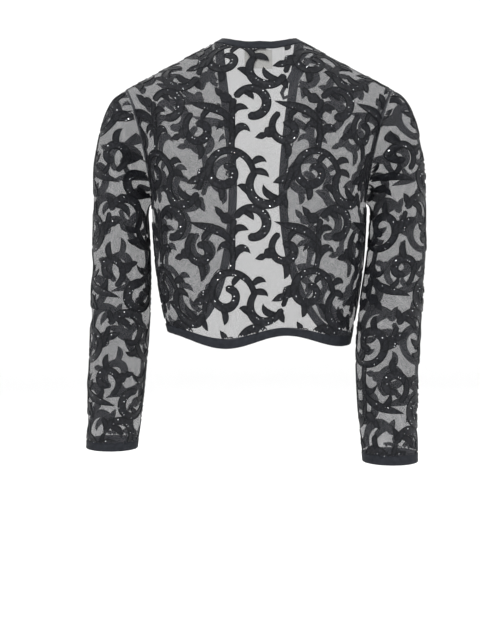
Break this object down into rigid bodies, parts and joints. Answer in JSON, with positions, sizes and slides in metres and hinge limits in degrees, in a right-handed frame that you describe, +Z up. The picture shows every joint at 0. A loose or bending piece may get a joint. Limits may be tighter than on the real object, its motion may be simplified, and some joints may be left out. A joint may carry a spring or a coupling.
{
  "type": "cropped open-front cardigan",
  "caption": "Cropped open-front cardigan of sheer scroll-embroidered net with three-quarter sleeves, bound edges and a hollow worn shape.",
  "frame": {"origin": "midway between the points where the shoulder seams meet the neck band", "axes": "+Z up as worn, -Y towards the front, +X towards the wearer's left"},
  "size_m": [0.454, 0.2221, 0.5473],
  "materials": {
    "net": "sheer",
    "binding": "matte",
    "label": "matte",
    "ribbon": "satin"
  },
  "bodies": {
    "root": {"back": "net", "front_left": "net", "front_right": "net", "sleeve_left": "net", "sleeve_right": "net", "neck_band": "binding", "front_band_left": "binding", "front_band_right": "binding", "hem_band": "binding", "cuff_left": "binding", "cuff_right": "binding", "label": "label", "hanger_loop": "ribbon"}
  },
  "joints": []
}
